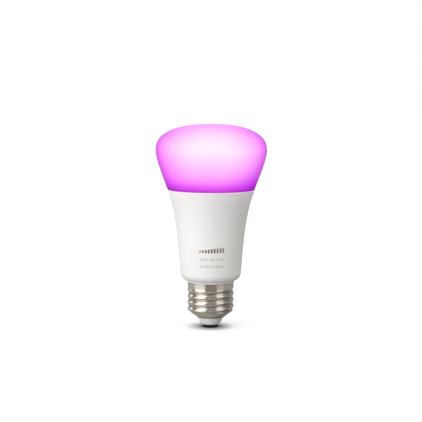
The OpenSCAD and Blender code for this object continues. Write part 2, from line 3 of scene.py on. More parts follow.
import bpy
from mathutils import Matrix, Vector


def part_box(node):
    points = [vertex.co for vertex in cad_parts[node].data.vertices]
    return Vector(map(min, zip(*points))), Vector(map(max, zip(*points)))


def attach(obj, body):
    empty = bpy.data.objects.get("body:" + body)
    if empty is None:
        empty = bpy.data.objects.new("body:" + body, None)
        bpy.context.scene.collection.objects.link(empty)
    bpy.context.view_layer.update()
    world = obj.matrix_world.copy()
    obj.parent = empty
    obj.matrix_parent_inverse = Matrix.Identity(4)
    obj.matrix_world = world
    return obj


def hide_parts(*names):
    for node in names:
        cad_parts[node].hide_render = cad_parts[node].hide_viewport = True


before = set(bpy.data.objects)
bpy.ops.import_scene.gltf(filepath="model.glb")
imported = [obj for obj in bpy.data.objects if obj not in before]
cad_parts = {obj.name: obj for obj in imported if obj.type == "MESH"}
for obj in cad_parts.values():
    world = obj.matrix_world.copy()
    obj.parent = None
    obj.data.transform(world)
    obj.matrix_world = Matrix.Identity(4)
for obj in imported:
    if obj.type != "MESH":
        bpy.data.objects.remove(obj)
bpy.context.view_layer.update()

# Sizes are in millimetres until a mesh is made. -Y is the front and +X is to its right.
MM = 0.001
BODY = "root"


def node_box(node):
    """Lowest and highest corner of a CAD node in millimetres."""
    lo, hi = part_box(node)
    return lo / MM, hi / MM


diffuser_lo, diffuser_hi = node_box("diffuser")
housing_lo, housing_hi = node_box("housing")
shell_lo, shell_hi = node_box("screw_shell")
insulator_lo, insulator_hi = node_box("base_insulator")
contact_hi = node_box("centre_contact")[1]
nail_hi = node_box("contact_nail")[1]

# Outlines ---------------------------------------------------------------------------------------


def bezier(p0, p1, p2, p3, steps):
    """Points along a cubic Bezier curve in the (radius, height) plane."""
    points = []
    for i in range(steps + 1):
        t = i / steps
        s = 1 - t
        weights = (s ** 3, 3 * s * s * t, 3 * s * t * t, t ** 3)
        points.append(tuple(sum(w * p[k] for w, p in zip(weights, (p0, p1, p2, p3))) for k in (0, 1)))
    return points


def radius_at(outline, z):
    """Radius of an upward outline at height z."""
    for (r0, z0), (r1, z1) in zip(outline, outline[1:]):
        if z0 <= z <= z1:
            return r0 + (r1 - r0) * (z - z0) / (z1 - z0)
    return outline[0][0] if z < outline[0][1] else outline[-1][0]


def inset(outline, depth):
    """An upward outline moved towards the axis by depth."""
    moved = []
    for i, (r, z) in enumerate(outline):
        a = Vector(outline[max(i - 1, 0)])
        b = Vector(outline[min(i + 1, len(outline) - 1)])
        along = (b - a).normalized()
        moved.append((max(0.0, r - depth * along.y), z + depth * along.x))
    return moved


def rounded(corners, steps=5):
    """A closed outline from (r, z, rounding) corners, each rounded by a short curve."""
    points = []
    count = len(corners)
    for i, (r, z, rounding) in enumerate(corners):
        here = Vector((r, z))
        to_last = Vector(corners[i - 1][:2]) - here
        to_next = Vector(corners[(i + 1) % count][:2]) - here
        if rounding == 0:
            points.append((r, z))
            continue
        start = here + to_last.normalized() * min(rounding, to_last.length * 0.45)
        end = here + to_next.normalized() * min(rounding, to_next.length * 0.45)
        for k in range(steps + 1):
            t = k / steps
            p = start * (1 - t) ** 2 + here * 2 * t * (1 - t) + end * t * t
            points.append((p.x, p.y))
    return points


WALL = 1.6
SEAM_GAP = 0.12
SEAM_R = 24.6
DOME_STEP = 0.35
CROWN_HEIGHT = 14.5
CROWN_POWER = 2.37
seam_z = housing_hi.z + SEAM_GAP
dome_seam_r = SEAM_R - DOME_STEP
diffuser_r = diffuser_hi.x
top_z = diffuser_hi.z
equator_z = top_z - CROWN_HEIGHT

diffuser_flare = bezier(
    (dome_seam_r, seam_z), (dome_seam_r + 2.2, seam_z + 6.3),
    (diffuser_r, equator_z - 5.4), (diffuser_r, equator_z), 48
)
CROWN_STEPS = 64
crown_angles = [math.pi / 2 * i / CROWN_STEPS for i in range(1, CROWN_STEPS + 1)]
diffuser_crown = [
    (
        diffuser_r * max(0.0, math.cos(a)) ** (2 / CROWN_POWER),
        equator_z + (top_z - equator_z) * math.sin(a) ** (2 / CROWN_POWER),
    )
    for a in crown_angles
]
diffuser_crown[-1] = (0.0, top_z)
diffuser_side = diffuser_flare + diffuser_crown

NECK_R = 13.35
BARREL_R = 17.1
SHOULDER_HEIGHT = 5.7
collar_top = housing_lo.z
barrel_z = collar_top + SHOULDER_HEIGHT
housing_shoulder = bezier(
    (NECK_R - 0.2, collar_top + 0.7), (NECK_R + 2.3, collar_top + 1.2),
    (BARREL_R - 0.1, collar_top + 2.8), (BARREL_R, barrel_z), 20
)
housing_flare = bezier(
    (BARREL_R, barrel_z), (BARREL_R + 1.1, barrel_z + 14.9), (SEAM_R - 5.3, seam_z - 12), (SEAM_R, seam_z), 72
)
housing_side = housing_shoulder + housing_flare[1:]

# Screw thread, as the CAD shell has it
shell_bottom = shell_lo.z
thread_r = shell_hi.x
THREAD_DEPTH = 0.75
THREAD_PITCH = 3.629
THREAD_END = collar_top - 4.2
THREAD_FADE = 1.3
CREST_Z = collar_top - 10.15
COLLAR_R = 12.95
MOUTH_R = 7.7
CONE_SLOPE = 1.3
FOOT_BLEND = 0.35
SHEET = 0.3


def shell_radius(z, angle):
    """Outside radius of the screw shell: rounded thread between a plain collar and a cone."""
    turn = 2 * math.pi * (z - CREST_Z) / THREAD_PITCH - angle
    thread = thread_r - THREAD_DEPTH * (1 - math.cos(turn)) / 2
    t = min(1.0, max(0.0, (z - THREAD_END) / THREAD_FADE))
    fade = t * t * (3 - 2 * t)
    cone = MOUTH_R + CONE_SLOPE * (z - shell_bottom)
    wall = thread * (1 - fade) + COLLAR_R * fade
    return (wall + cone - math.sqrt((wall - cone) ** 2 + FOOT_BLEND ** 2)) / 2


# Meshes -----------------------------------------------------------------------------------------


def add_mesh(name, verts, faces, material, sharp_deg=38):
    """A smooth-shaded object from millimetre vertices, riding on the CAD body."""
    mesh = bpy.data.meshes.new(name)
    mesh.from_pydata([Vector(v) * MM for v in verts], [], faces)
    mesh.validate()
    mesh.shade_smooth()
    mesh.set_sharp_from_angle(angle=math.radians(sharp_deg))
    mesh.materials.append(material)
    obj = bpy.data.objects.new(name, mesh)
    bpy.context.scene.collection.objects.link(obj)
    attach(obj, BODY)
    return obj


def lathe(name, outline, material, sides=192):
    """Turns a closed outline, listed anticlockwise in (r, z), round the axis."""
    verts, rings = [], []
    for r, z in outline:
        if r < 1e-6:
            rings.append([len(verts)] * sides)
            verts.append((0.0, 0.0, z))
            continue
        rings.append(list(range(len(verts), len(verts) + sides)))
        for j in range(sides):
            a = 2 * math.pi * j / sides
            verts.append((r * math.cos(a), r * math.sin(a), z))
    faces = []
    for low, high in zip(rings, rings[1:] + rings[:1]):
        for j in range(sides):
            k = (j + 1) % sides
            corners = [low[j], low[k], high[k], high[j]]
            face = list(dict.fromkeys(corners))
            if len(face) > 2:
                faces.append(face)
    return add_mesh(name, verts, faces, material)


# Materials --------------------------------------------------------------------------------------


class Nodes:
    """A node tree, with short ways to add and join nodes."""

    def __init__(self, owner, output, place):
        owner.use_nodes = True
        self.owner = owner
        self.tree = owner.node_tree
        self.shader = self.tree.nodes[output]
        self.place = self.add("ShaderNodeTexCoord").outputs[place]

    def add(self, kind, **settings):
        node = self.tree.nodes.new(kind)
        for key, value in settings.items():
            setattr(node, key, value)
        return node

    def join(self, source, target):
        self.tree.links.new(source, target)

    def set(self, **values):
        """Sets the shader's own sockets; underscores stand for spaces."""
        for key, value in values.items():
            self.shader.inputs[key.replace("_", " ")].default_value = value

    def feed(self, node, socket, value):
        """Gives a node's socket a link or a plain value."""
        if isinstance(value, bpy.types.NodeSocket):
            self.join(value, node.inputs[socket])
        else:
            node.inputs[socket].default_value = value

    def math(self, operation, a, b=0.0, c=0.0):
        node = self.add("ShaderNodeMath", operation=operation)
        for i, value in enumerate((a, b, c)):
            self.feed(node, i, value)
        return node.outputs[0]

    def product(self, *values):
        """All the values multiplied together, from the left."""
        result = values[0]
        for value in values[1:]:
            result = self.math("MULTIPLY", result, value)
        return result

    def from_axis(self, x, y):
        """Distance from the bulb's axis."""
        return self.math("SQRT", self.math("ADD", self.math("MULTIPLY", x, x), self.math("MULTIPLY", y, y)))

    def axes(self):
        """The place's X, Y and Z: metres on a surface, a unit direction in the world."""
        split = self.add("ShaderNodeSeparateXYZ")
        self.join(self.place, split.inputs[0])
        return split.outputs[0], split.outputs[1], split.outputs[2]

    def stretched(self, scale):
        """The place, scaled by a different amount along each axis."""
        node = self.add("ShaderNodeMapping")
        self.join(self.place, node.inputs["Vector"])
        node.inputs["Scale"].default_value = scale
        return node.outputs[0]

    def noise(self, scale, detail=3.0, where=None, roughness=0.5):
        node = self.add("ShaderNodeTexNoise")
        self.join(where if where is not None else self.place, node.inputs["Vector"])
        node.inputs["Scale"].default_value = scale
        node.inputs["Detail"].default_value = detail
        node.inputs["Roughness"].default_value = roughness
        return node.outputs["Fac"]

    def span(self, value, low, high, to_low=0.0, to_high=1.0, smooth=False):
        """value, mapped from low..high to to_low..to_high."""
        node = self.add("ShaderNodeMapRange", interpolation_type="SMOOTHSTEP" if smooth else "LINEAR")
        self.feed(node, "Value", value)
        node.inputs["From Min"].default_value = low
        node.inputs["From Max"].default_value = high
        node.inputs["To Min"].default_value = to_low
        node.inputs["To Max"].default_value = to_high
        return node.outputs["Result"]

    def blend(self, factor, a, b, mode="MIX"):
        """Mixes two colours."""
        node = self.add("ShaderNodeMix", data_type="RGBA", blend_type=mode)
        self.feed(node, 0, factor)
        self.feed(node, 6, a)
        self.feed(node, 7, b)
        return node.outputs[2]

    def ramp(self, value, stops, interpolation="LINEAR"):
        """A colour ramp of (position, colour) stops."""
        node = self.add("ShaderNodeValToRGB")
        band = node.color_ramp
        band.interpolation = interpolation
        while len(band.elements) < len(stops):
            band.elements.new(0.5)
        for element, (position, colour) in zip(band.elements, stops):
            element.position = position
            element.color = (*colour, 1.0)
        self.join(value, node.inputs[0])
        return node.outputs[0]

    def bump(self, height, strength, distance):
        node = self.add("ShaderNodeBump")
        node.inputs["Strength"].default_value = strength
        node.inputs["Distance"].default_value = distance
        self.join(height, node.inputs["Height"])
        self.join(node.outputs[0], self.shader.inputs["Normal"])

    def colour(self, value):
        self.join(value, self.shader.inputs["Base Color"])

    def roughness(self, value):
        self.join(value, self.shader.inputs["Roughness"])


def surface(name):
    """A new material's nodes."""
    return Nodes(bpy.data.materials.new(name), "Principled BSDF", "Object")


def rgba(r, g, b):
    return (r, g, b, 1.0)


BLACK = rgba(0, 0, 0)


def shaded(colour, factor):
    """A colour made lighter or darker."""
    return rgba(*(min(1.0, c * factor) for c in colour))


# Light leaves the frosted wall white-pink high up and deep magenta down by the seam. Each stop is a
# height above the seam in millimetres and the light's colour when the wall is seen square on.
GLOW_STOPS = (
    (0.0, (0.50, 0.052, 0.56)),
    (1.9, (0.72, 0.088, 0.84)),
    (4.1, (0.93, 0.190, 1.02)),
    (6.4, (1.08, 0.350, 1.14)),
    (9.4, (1.22, 0.480, 1.24)),
    (12.9, (1.32, 0.585, 1.32)),
    (17.4, (1.38, 0.725, 1.38)),
    (22.9, (1.42, 0.840, 1.42)),
    (27.9, (1.45, 0.940, 1.45)),
    (31.4, (1.55, 1.350, 1.55)),
    (34.4, (2.00, 2.050, 2.00)),
    (36.5, (3.00, 3.200, 3.00)),
)
GLOW_TINT = (0.55, 0.23, 0.60)
GLOW_STRENGTH = 15.0

# Small colour corrections, each multiplied into the light over its own part of the wall
LOBES = rgba(1.24, 1.31, 1.31)
LOW_BAND = rgba(0.97, 0.99, 0.95)
LOW_RIGHT = rgba(0.84, 0.58, 0.96)
RIGHT = rgba(0.97, 0.90, 0.97)
FLANKS = rgba(1.0, 1.08, 0.98)
RIGHT_FLANK = rgba(0.90, 1.10, 0.91)
CROWN = rgba(1.0, 1.05, 1.0)

# Colour of the unlit wall, by height from the seam (0) to the top (1)
WALL_STOPS = ((0.0, (0.16, 0.010, 0.20)), (0.45, (0.26, 0.045, 0.27)), (1.0, (0.30, 0.09, 0.30)))


def frosted_glow():
    """Frosted diffuser, lit from inside; a tinted coat deepens its colour where it is seen aslant."""
    n = surface("frosted_diffuser")
    x, y, z = n.axes()
    height = n.span(z, seam_z * MM, top_z * MM)
    stops = [
        (
            level / (top_z - seam_z),
            tuple(c / t / GLOW_STRENGTH for c, t in zip(colour, GLOW_TINT)),
        )
        for level, colour in GLOW_STOPS
    ]
    glow = n.ramp(height, stops, "B_SPLINE")
    sideways = n.math("DIVIDE", x, n.math("MAXIMUM", n.from_axis(x, y), 0.001))
    aside = n.math("ABSOLUTE", sideways)
    right = n.span(sideways, 0.1, 1.0, smooth=True)
    low_band = n.span(z, (seam_z + 1) * MM, (seam_z + 17) * MM, 1.0, 0.0, smooth=True)
    middle = n.product(
        n.span(z, (seam_z + 4) * MM, (seam_z + 11) * MM, smooth=True),
        n.span(z, (seam_z + 20) * MM, (seam_z + 27) * MM, 1.0, 0.0, smooth=True),
    )
    flanks = n.product(aside, n.math("SUBTRACT", 1.0, aside), 4.0, middle)
    crown = n.span(z, (top_z - 6) * MM, (top_z - 1) * MM, smooth=True)
    corrections = (
        (n.product(sideways, sideways, low_band), LOBES),
        (low_band, LOW_BAND),
        (n.product(right, low_band), LOW_RIGHT),
        (right, RIGHT),
        (flanks, FLANKS),
        (n.product(flanks, right), RIGHT_FLANK),
        (crown, CROWN),
    )
    for where, colour in corrections:
        glow = n.blend(where, glow, colour, "MULTIPLY")
    grain = n.span(n.noise(900.0, 4.0), 0.3, 0.7, 0.985, 1.0)
    glow = n.blend(1.0, glow, grain, "MULTIPLY")
    n.join(glow, n.shader.inputs["Emission Color"])
    n.set(Emission_Strength=GLOW_STRENGTH)
    n.colour(n.ramp(height, WALL_STOPS))
    n.roughness(n.span(n.noise(700.0, 3.0), 0.3, 0.7, 0.50, 0.60))
    n.set(Coat_Weight=1.0, Coat_Tint=rgba(*GLOW_TINT), Coat_IOR=1.1, Coat_Roughness=0.5)
    n.set(Specular_IOR_Level=0.3)
    n.bump(n.noise(1800.0, 2.0), 0.04, 0.0001)
    return n.owner


# Painted light: a pink glow on the housing's top edge, fading downwards over this height, in place of the
# dome's light falling on it
PAINTED_GLOW_HEIGHT = 20
PAINTED_GLOW_POWER = 3.0
PAINTED_GLOW_COLOUR = rgba(1.0, 0.85, 1.0)
PAINTED_GLOW_STRENGTH = 0.125


def satin_housing():
    """White satin plastic with a very fine moulded grain; its top edge glows with painted pink light, in
    place of the dome's light falling on it.
    """
    n = surface("satin_white_housing")
    cloud = n.noise(35.0, 3.0)
    n.colour(n.blend(n.span(cloud, 0.35, 0.65), rgba(0.82, 0.815, 0.80), rgba(0.85, 0.848, 0.835)))
    n.roughness(n.span(n.noise(420.0, 4.0), 0.3, 0.7, 0.34, 0.44))
    z = n.axes()[2]
    # Painted glow of the dome's light on the housing's top edge
    painted_glow = n.math("POWER", n.span(z, (seam_z - PAINTED_GLOW_HEIGHT) * MM, seam_z * MM), PAINTED_GLOW_POWER)
    n.join(n.blend(painted_glow, BLACK, PAINTED_GLOW_COLOUR), n.shader.inputs["Emission Color"])
    n.set(Specular_IOR_Level=0.42, Emission_Strength=PAINTED_GLOW_STRENGTH)
    n.bump(n.noise(2600.0, 3.0), 0.10, 0.00006)
    return n.owner


def plated_shell():
    """Bright nickel plate over a rolled thread: drawing lines round it and a duller tarnished root, with
    painted shade as a dark line along the top edge under the housing rim and as darkening towards the foot of
    the cone.
    """
    n = surface("nickel_plate")
    x, y, z = n.axes()
    root_r = thread_r - THREAD_DEPTH
    root = n.span(n.from_axis(x, y), root_r * MM, (root_r + 0.3) * MM, 1.0, 0.0, smooth=True)
    above_cone = n.span(z, (shell_bottom + 3.2) * MM, (shell_bottom + 4.0) * MM)
    below_collar = n.span(z, (THREAD_END + 0.2) * MM, (THREAD_END + 0.9) * MM, 1.0, 0.0)
    root = n.product(root, n.product(above_cone, below_collar))
    # Painted shadow: a dark line along the shell's top edge, under the housing's rim
    painted_shadow_line = n.span(z, (shell_hi.z - 0.6) * MM, (shell_hi.z - 0.3) * MM, 0.0, 1.4, smooth=True)
    # Painted shade: the plate darkens towards the shell's foot, in place of the shadowed floor that the cone
    # reflects
    foot = n.span(z, shell_bottom * MM, (shell_bottom + 3.0) * MM, 1.1, 0.0, smooth=True)
    stain = n.noise(160.0, 5.0)
    everywhere = 0.12
    # Tarnish in the root and all over, plus the painted shadow line at the top and the painted shade at the
    # foot
    tarnish_and_shade_sum = n.math("ADD", n.math("ADD", root, everywhere), n.math("ADD", painted_shadow_line, foot))
    tarnish_and_painted_shade = n.product(tarnish_and_shade_sum, n.span(stain, 0.3, 0.6, 0.5, 1.0))
    n.colour(n.blend(n.math("MINIMUM", tarnish_and_painted_shade, 1.2), rgba(0.81, 0.775, 0.73), rgba(0.44, 0.40, 0.35)))
    lines = n.noise(1.0, 4.0, n.stretched((120.0, 120.0, 9000.0)), 0.6)
    n.roughness(n.math("ADD", n.span(lines, 0.3, 0.7, 0.09, 0.16), n.product(tarnish_and_painted_shade, 0.12)))
    n.set(Metallic=1.0)
    n.bump(lines, 0.10, 0.00002)
    return n.owner


def glazed_insulator():
    """White moulded insulator with faint flow marks."""
    n = surface("white_insulator")
    flow = n.noise(1.0, 4.0, n.stretched((260.0, 260.0, 900.0)))
    n.colour(n.blend(n.span(flow, 0.35, 0.7), rgba(0.80, 0.80, 0.80), rgba(0.74, 0.74, 0.75)))
    n.roughness(n.span(flow, 0.3, 0.7, 0.28, 0.40))
    n.bump(flow, 0.15, 0.00004)
    return n.owner


def metal(name, base, rough=(0.25, 0.4), scale=300.0, bump=0.12):
    """Plain metal with uneven gloss and a few darker marks."""
    n = surface(name)
    patch = n.noise(scale, 5.0)
    n.colour(n.blend(n.span(patch, 0.35, 0.7), rgba(*base), shaded(base, 0.78)))
    n.roughness(n.span(patch, 0.3, 0.7, *rough))
    n.set(Metallic=1.0)
    n.bump(n.noise(scale * 4, 3.0), bump, 0.00003)
    return n.owner


def painted_shade_rim():
    """Near-black painted shade on the contact's turned-up edge, where it sits in the shadow between the
    insulator and the floor.
    """
    n = surface("painted_shade_rim")
    scuff = n.noise(600.0, 5.0)
    n.colour(n.blend(n.span(scuff, 0.35, 0.7), rgba(0.004, 0.004, 0.004), rgba(0.010, 0.009, 0.008)))
    n.roughness(n.span(scuff, 0.3, 0.7, 0.55, 0.75))
    n.set(Specular_IOR_Level=0.12)
    n.bump(scuff, 0.2, 0.00003)
    return n.owner


def plastic(name, base, rough=(0.4, 0.55), scale=400.0, bump=0.1):
    """Moulded plastic, lacquer or ceramic with a fine grain."""
    n = surface(name)
    cloud = n.noise(scale * 0.2, 3.0)
    n.colour(n.blend(n.span(cloud, 0.3, 0.7), rgba(*base), shaded(base, 0.86)))
    n.roughness(n.span(n.noise(scale, 4.0), 0.3, 0.7, *rough))
    n.bump(n.noise(scale * 3, 3.0), bump, 0.00004)
    return n.owner


def laminate(name, base):
    """Glass-fibre board: a woven weave under the solder mask."""
    n = surface(name)
    waves = [n.add("ShaderNodeTexWave", wave_type="BANDS", bands_direction=axis) for axis in ("X", "Z")]
    for wave in waves:
        n.join(n.place, wave.inputs["Vector"])
        wave.inputs["Scale"].default_value = 420.0
    weave = n.math("MULTIPLY", waves[0].outputs["Fac"], waves[1].outputs["Fac"])
    n.colour(n.blend(weave, rgba(*base), shaded(base, 1.5)))
    n.roughness(n.span(weave, 0.0, 1.0, 0.30, 0.42))
    n.bump(weave, 0.12, 0.00003)
    return n.owner


# Height of an LED package's moulding, and of the step up to its lens, in millimetres
PACKAGE_HEIGHT = 0.6
LENS_STEP = 0.12


def lens(node, base, light=None, strength=0.0):
    """An LED package: pale moulding with a coloured lens, lit if it has a light colour."""
    n = surface(node)
    z = n.axes()[2]
    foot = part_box(node)[0].z
    inner = n.span(z, foot + PACKAGE_HEIGHT * MM, foot + (PACKAGE_HEIGHT + LENS_STEP) * MM)
    n.colour(n.blend(inner, rgba(0.9, 0.9, 0.88), rgba(*base)))
    n.roughness(n.span(n.noise(1500.0), 0.3, 0.7, 0.2, 0.32))
    if light:
        n.join(n.blend(inner, BLACK, rgba(*light)), n.shader.inputs["Emission Color"])
        n.set(Emission_Strength=strength)
    return n.owner


# The visible pieces ------------------------------------------------------------------------------


def build_diffuser():
    """Dome, snap-in skirt and inner wall in one moulding."""
    skirt_z = diffuser_lo.z
    skirt_r = SEAM_R - 2.2
    skirt_in = skirt_r - 1.3
    edge = 0.35
    skirt = rounded([
        (skirt_in, skirt_z, 0.2), (skirt_r, skirt_z, 0.2), (skirt_r, seam_z - 1.75, 0.1),
        (skirt_r + 0.2, seam_z - 1.5, 0.1), (skirt_r, seam_z - 1.25, 0.1), (skirt_r, seam_z, 0),
    ])
    r = dome_seam_r
    skirt += [(r - edge, seam_z), (r - 0.1, seam_z + 0.08), (r + 0.02, seam_z + edge)]
    outer = [p for p in diffuser_side if p[1] > seam_z + edge + 0.05]
    inner = [p for p in inset(diffuser_side, WALL) if p[1] > seam_z + 2.6 and p[0] > 0.3]
    outline = skirt + outer + [(0.0, top_z - WALL)] + inner[::-1] + [(skirt_in, seam_z + 0.8)]
    piece = lathe("diffuser_dome", outline, frosted_glow(), sides=224)
    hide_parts("diffuser")


def build_housing():
    """Flared body with a rounded top lip, a snap groove and a small rim round the neck."""
    lip_z = seam_z - SEAM_GAP
    bore_r = SEAM_R - 2.1
    ledge_z = seam_z - 3.1
    rim = rounded([
        (NECK_R - 0.55, collar_top, 0.1), (NECK_R, collar_top, 0.15), (NECK_R, collar_top + 0.42, 0.12),
        (NECK_R - 0.3, collar_top + 0.5, 0.1),
    ], steps=4)
    side = [p for p in housing_side if p[1] < lip_z - 0.5]
    lip = rounded([
        (SEAM_R - 0.09, lip_z - 0.42, 0.2), (SEAM_R - 0.38, lip_z, 0.2), (bore_r, lip_z, 0.1),
        (bore_r, ledge_z, 0.05), (radius_at(housing_side, ledge_z) - WALL, ledge_z, 0.1),
    ], steps=4)
    inner = [
        (radius_at(housing_side, z) - WALL, z)
        for z in [ledge_z - 1 - i * (ledge_z - 1 - barrel_z) / 24 for i in range(25)]
    ]
    outline = rim + side + lip + inner + [(NECK_R - 0.55, collar_top + 2)]
    piece = lathe("housing_body", outline, satin_housing())
    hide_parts("housing")


def build_shell():
    """Rolled thread as an outer and an inner skin, with its ends closed."""
    sides = 192
    rows = 140
    levels = [shell_bottom + (shell_hi.z - shell_bottom) * i / rows for i in range(rows + 1)]
    verts, faces = [], []
    for skin in (0, 1):
        for z in levels:
            for j in range(sides):
                a = 2 * math.pi * j / sides
                r = shell_radius(z, a) - skin * SHEET
                verts.append((r * math.cos(a), r * math.sin(a), z))
    span = len(levels) * sides
    for i in range(rows):
        for j in range(sides):
            a, b = i * sides + j, i * sides + (j + 1) % sides
            faces.append((a, b, b + sides, a + sides))
            faces.append((a + span, a + span + sides, b + span + sides, b + span))
    for row, flip in ((0, True), (rows, False)):
        for j in range(sides):
            a, b = row * sides + j, row * sides + (j + 1) % sides
            face = (a, b, b + span, a + span)
            faces.append(face[::-1] if flip else face)
    piece = add_mesh("threaded_shell", verts, faces, plated_shell(), sharp_deg=50)
    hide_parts("screw_shell")


# Gap left between the contact and its neighbours, and width of the contact's edge that is painted near-black
# as shade
CONTACT_PLAY = 0.05
PAINTED_SHADE_RIM = 0.5
NAIL_HOLE_R = 1.3
NAIL_R = 0.7


def build_insulator():
    """Conical plug with a rounded foot round the contact."""
    contact_r = contact_hi.x
    seat_r = contact_r + CONTACT_PLAY
    seat = contact_hi.z + CONTACT_PLAY
    foot = insulator_lo.z
    lip_r = MOUTH_R - SHEET - 0.1
    deck = insulator_hi.z
    outline = rounded([
        (NAIL_HOLE_R, seat, 0), (seat_r, seat, 0), (seat_r, foot, 0.08),
        (contact_r + 0.75, foot, 0.2), (contact_r + 1.55, foot + 0.65, 0.4),
        (lip_r - 0.3, shell_bottom - 0.35, 0.2), (lip_r - 0.25, shell_bottom + 0.6, 0.1),
        (lip_r + 0.5, shell_bottom + 1.1, 0.2), (lip_r + 3.2, shell_bottom + 3.2, 0.3),
        (lip_r + 3.2, deck, 0.2), (lip_r + 2, deck, 0.2),
        (lip_r + 0.6, shell_bottom + 3, 0.3), (2.5, shell_bottom + 2.2, 0.2),
        (NAIL_HOLE_R, shell_bottom + 1.4, 0.1),
    ])
    piece = lathe("insulator_cone", outline, glazed_insulator(), sides=144)
    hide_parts("base_insulator")


def build_contact():
    """Stamped contact with a dished middle and a turned-up edge."""
    r = contact_hi.x
    top = contact_hi.z
    dish = insulator_lo.z
    hole_r = NAIL_R + 0.05
    outline = rounded([
        (hole_r, dish, 0), (1.95, dish, 0.1), (2.35, dish / 2, 0.1), (2.6, 0.0, 0.1), (r - 0.6, 0.0, 0.2),
        (r - 0.12, 0.1, 0.2), (r, 0.5, 0.1), (r, top, 0.05), (hole_r, top, 0),
    ])
    tin = metal("tinned_contact", (0.66, 0.65, 0.62), (0.26, 0.42), 600.0, 0.2)
    piece = lathe("contact_disc", outline, tin, sides=128)
    # The contact's outer edge gets the near-black painted shade; the rest stays tinned metal
    piece.data.materials.append(painted_shade_rim())
    for face in piece.data.polygons:
        middle = face.center / MM
        face.material_index = 1 if math.hypot(middle.x, middle.y) > r - PAINTED_SHADE_RIM else 0
    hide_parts("centre_contact")


def build_nail():
    """Soldered nail: a low domed head in the contact's dish, and its shank."""
    solder = metal("soldered_nail", (0.66, 0.66, 0.64), (0.2, 0.4), 700.0, 0.25)
    seat = insulator_lo.z - CONTACT_PLAY
    tip = nail_hi.z
    head = rounded([
        (0.0, seat - 0.5, 0), (1.0, seat - 0.45, 0.3), (1.5, seat - 0.25, 0.25), (1.6, seat, 0.05),
        (NAIL_R, seat, 0), (NAIL_R, tip - 0.4, 0.1), (0.4, tip, 0.1), (0.0, tip, 0),
    ])
    nail = lathe("nail_solder", head, solder, sides=64)
    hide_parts("contact_nail")


# Printed marks: plain bars and dashes, laid on the housing ------------------------------------------

PRINT_SHIFT = 0.5
PRINT_LIFT = 0.015
PRINT_THICK = 0.02
BAR_COUNT = 9
BAR_PITCH = 1.62
BAR_WIDTH = 0.95
SHORT_BAR = 1.5
TALL_BAR = 3.0
SCALE_FOOT = 18.1
DASH_HEIGHT = 1.5
DASH_GAP = 0.5
# Each row's height above the collar and its dashes' widths
DASH_ROWS = ((14.5, (2.6, 1.6, 3.4, 2.2, 1.6)), (10.6, (1.8, 3.2, 1.4, 2.6, 1.8)))


def on_housing(u, v, lift):
    """The point of the housing's front that lies u to the right and at height v."""
    r = radius_at(housing_side, v)
    a = (u + PRINT_SHIFT) / r
    return ((r + lift) * math.sin(a), -(r + lift) * math.cos(a), v)


def print_shapes(name, shapes, material):
    """A thin solid layer for each closed (u, v) outline, fanned from its middle."""
    verts, faces = [], []
    for outline in shapes:
        count = len(outline)
        middle = [sum(p[k] for p in outline) / count for k in (0, 1)]
        for lift in (PRINT_LIFT, PRINT_LIFT + PRINT_THICK):
            base = len(verts)
            verts.append(on_housing(*middle, lift))
            verts += [on_housing(u, v, lift) for u, v in outline]
            for i in range(count):
                a, b = base + 1 + i, base + 1 + (i + 1) % count
                faces.append((base, a, b) if lift > PRINT_LIFT else (base, b, a))
        for i in range(count):
            a, b = base + 1 + i, base + 1 + (i + 1) % count
            faces.append((a - count - 1, b - count - 1, b, a))
    piece = add_mesh(name, verts, faces, material)


def dash(u, v, width, height):
    """A bar with round ends."""
    r = height / 2
    half = [-math.pi / 2 + math.pi * i / 6 for i in range(7)]
    right = [(u + width / 2 - r + r * math.cos(a), v + r * math.sin(a)) for a in half]
    left = [(u - width / 2 + r - r * math.cos(a), v - r * math.sin(a)) for a in half]
    return right + left


def upright_bar(u, v, width, height):
    """A bar with rounded corners, standing on height v."""
    corner = 0.2
    arc = [math.pi / 2 * i / 4 for i in range(5)]
    points = []
    for cx, cy, turn in ((1, 0, 3), (1, 1, 0), (-1, 1, 1), (-1, 0, 2)):
        middle_u = u + cx * (width / 2 - corner)
        middle_v = v + (height - corner if cy else corner)
        for a in arc:
            angle = a + turn * math.pi / 2
            points.append((middle_u + corner * math.cos(angle), middle_v + corner * math.sin(angle)))
    return points


def row_of_dashes(v, widths, height, gap):
    """Dashes side by side, centred on the front."""
    total = sum(widths) + gap * (len(widths) - 1)
    at = -total / 2
    made = []
    for width in widths:
        made.append(dash(at + width / 2, v, width, height))
        at += width + gap
    return made


def build_print():
    """A brightness scale of rising bars, with two faint rows of dashes under it."""
    bronze = metal("bronze_print", (0.50, 0.36, 0.22), (0.35, 0.5), 900.0, 0.05)
    grey = plastic("grey_print", (0.68, 0.67, 0.65), (0.5, 0.6), 900.0, 0.03)
    foot = collar_top + SCALE_FOOT
    bars = []
    for i in range(BAR_COUNT):
        height = SHORT_BAR + (TALL_BAR - SHORT_BAR) * i / (BAR_COUNT - 1)
        bars.append(upright_bar((i - (BAR_COUNT - 1) / 2) * BAR_PITCH, foot, BAR_WIDTH, height))
    print_shapes("brightness_scale", bars, bronze)
    rows = []
    for height, widths in DASH_ROWS:
        rows += row_of_dashes(collar_top + height, widths, DASH_HEIGHT, DASH_GAP)
    print_shapes("rating_dashes", rows, grey)


# Inner pieces keep their CAD shape and get a finish -------------------------------------------------


